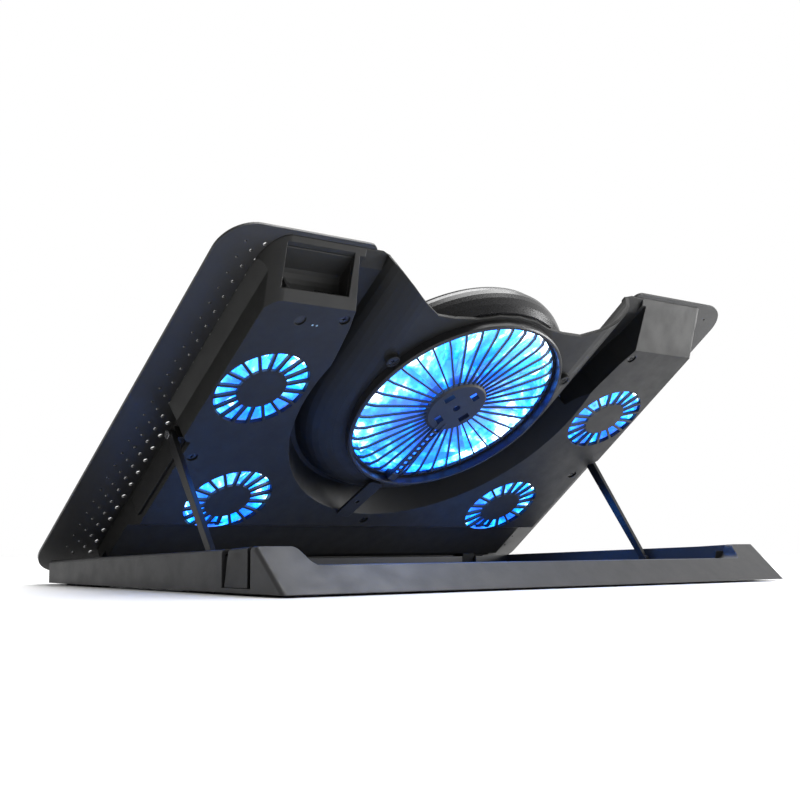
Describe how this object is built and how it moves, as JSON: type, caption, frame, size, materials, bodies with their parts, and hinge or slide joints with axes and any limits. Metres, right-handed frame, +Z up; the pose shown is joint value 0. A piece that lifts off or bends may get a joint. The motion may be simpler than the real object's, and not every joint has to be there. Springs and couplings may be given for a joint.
{
  "type": "laptop cooling pad",
  "caption": "Tilting laptop cooling pad: a perforated plate over a fan cover, hinged to a wedge-shaped base and propped by legs on toothed racks.",
  "frame": {"origin": "bottom centre of the bounding box, on the surface that the pad stands on", "axes": "+X along the width towards the side with the sockets, +Y to the rear, +Z up; the user sits at -Y"},
  "size_m": [0.4, 0.2792, 0.1844],
  "materials": {
    "base_plastic": "fine moulded texture, charcoal",
    "cover_plastic": "fine moulded texture, charcoal",
    "dark_plastic": "matt black",
    "guard_plastic": "satin black",
    "housing_plastic": "satin dark grey",
    "plate_metal": "powder coated, perforated",
    "rotor_plastic": "translucent, lit blue",
    "light_plastic": "translucent, lit blue",
    "motor_metal": "black",
    "rubber": "matt",
    "bright_steel": "brushed",
    "screw_steel": "blackened",
    "leg_metal": "satin grey",
    "circuit_board": "solder mask",
    "control_plastic": "satin grey"
  },
  "bodies": {
    "base": {"base_frame": "base_plastic", "rear_lining": "dark_plastic", "arm_cover_left": "base_plastic", "arm_cover_right": "base_plastic", "leg_rack_left": "dark_plastic", "leg_rack_right": "dark_plastic", "side_vent_left": "dark_plastic", "side_vent_right": "dark_plastic", "hinge_pin_left": "bright_steel", "hinge_pin_right": "bright_steel", "rubber_feet": "rubber"},
    "leg_left": {"leg_left": "leg_metal", "leg_tip_left": "rubber"},
    "leg_right": {"leg_right": "leg_metal", "leg_tip_right": "rubber"},
    "stop_left": {"stop_left": "dark_plastic", "stop_pad_left": "rubber"},
    "stop_right": {"stop_right": "dark_plastic", "stop_pad_right": "rubber"},
    "rotor_large": {"rotor_large": "rotor_plastic"},
    "speed_dial": {"speed_dial": "control_plastic"},
    "light_button": {"light_button": "control_plastic"},
    "rotor_upper_left": {"rotor_upper_left": "rotor_plastic"},
    "rotor_upper_right": {"rotor_upper_right": "rotor_plastic"},
    "rotor_lower_left": {"rotor_lower_left": "rotor_plastic"},
    "rotor_lower_right": {"rotor_lower_right": "rotor_plastic"},
    "panel": {"bottom_cover": "cover_plastic", "button_switch": "control_plastic", "cable_cover": "cover_plastic", "control_board": "circuit_board", "cover_screws": "screw_steel", "fan_collar": "guard_plastic", "fan_frame_lower_left": "light_plastic", "fan_frame_lower_right": "light_plastic", "fan_frame_upper_left": "light_plastic", "fan_frame_upper_right": "light_plastic", "fan_guard": "guard_plastic", "fan_housing_large": "housing_plastic", "fan_motor_large": "motor_metal", "fan_motor_lower_left": "motor_metal", "fan_motor_lower_right": "motor_metal", "fan_motor_upper_left": "motor_metal", "fan_motor_upper_right": "motor_metal", "guard_screws": "screw_steel", "leg_bracket_left": "cover_plastic", "leg_bracket_right": "cover_plastic", "leg_pin_left": "bright_steel", "leg_pin_right": "bright_steel", "light_ring": "light_plastic", "plate_pads": "rubber", "port_pocket": "cover_plastic", "power_socket": "bright_steel", "status_lights": "light_plastic", "stop_bracket_left": "dark_plastic", "stop_bracket_right": "dark_plastic", "stop_pin_left": "bright_steel", "stop_pin_right": "bright_steel", "top_plate": "plate_metal", "usb_socket": "bright_steel", "usb_tongue": "control_plastic"}
  },
  "joints": [
    {"name": "panel_tilt", "type": "hinge", "parent": "base", "child": "panel", "pos_m": [0, -0.1055, 0.01052], "axis": [1, 0, 0], "range_deg": [-32, 0]},
    {"name": "leg_left_fold", "type": "hinge", "parent": "panel", "child": "leg_left", "pos_m": [0.1714, -0.00762, 0.08501], "axis": [1, 0, 0], "range_deg": [0, 82]},
    {"name": "leg_right_fold", "type": "hinge", "parent": "panel", "child": "leg_right", "pos_m": [-0.1714, -0.00762, 0.08501], "axis": [1, 0, 0], "range_deg": [0, 82]},
    {"name": "rotor_large_spin", "type": "hinge", "parent": "panel", "child": "rotor_large", "pos_m": [0, 0.0316, 0.11897], "axis": [0, -0.6114, 0.7913], "continuous": true},
    {"name": "rotor_upper_left_spin", "type": "hinge", "parent": "panel", "child": "rotor_upper_left", "pos_m": [0.14, 0.03055, 0.1169], "axis": [0, -0.6114, 0.7913], "continuous": true},
    {"name": "rotor_upper_right_spin", "type": "hinge", "parent": "panel", "child": "rotor_upper_right", "pos_m": [-0.14, 0.03055, 0.1169], "axis": [0, -0.6114, 0.7913], "continuous": true},
    {"name": "rotor_lower_left_spin", "type": "hinge", "parent": "panel", "child": "rotor_lower_left", "pos_m": [0.1138, -0.04605, 0.05772], "axis": [0, -0.6114, 0.7913], "continuous": true},
    {"name": "rotor_lower_right_spin", "type": "hinge", "parent": "panel", "child": "rotor_lower_right", "pos_m": [-0.1138, -0.04605, 0.05772], "axis": [0, -0.6114, 0.7913], "continuous": true},
    {"name": "stop_left_fold", "type": "hinge", "parent": "panel", "child": "stop_left", "pos_m": [0.095, -0.12863, 0.01363], "axis": [1, 0, 0], "range_deg": [-90, 0]},
    {"name": "stop_right_fold", "type": "hinge", "parent": "panel", "child": "stop_right", "pos_m": [-0.095, -0.12863, 0.01363], "axis": [1, 0, 0], "range_deg": [-90, 0]},
    {"name": "dial_turn", "type": "hinge", "parent": "panel", "child": "speed_dial", "pos_m": [0.1592, 0.08257, 0.15507], "axis": [0, 0.7913, 0.6114], "range_deg": [-135, 135]},
    {"name": "button_press", "type": "slide", "parent": "panel", "child": "light_button", "axis": [0, -0.6114, 0.7913], "range_m": [0, 0.0008], "stiffness_N_per_m": 600, "springref_m": -0.0006}
  ],
  "couplings": [
    {"joint": "leg_left_fold", "follows": "panel_tilt", "ratio": -2.558},
    {"joint": "leg_right_fold", "follows": "panel_tilt", "ratio": -2.558}
  ]
}
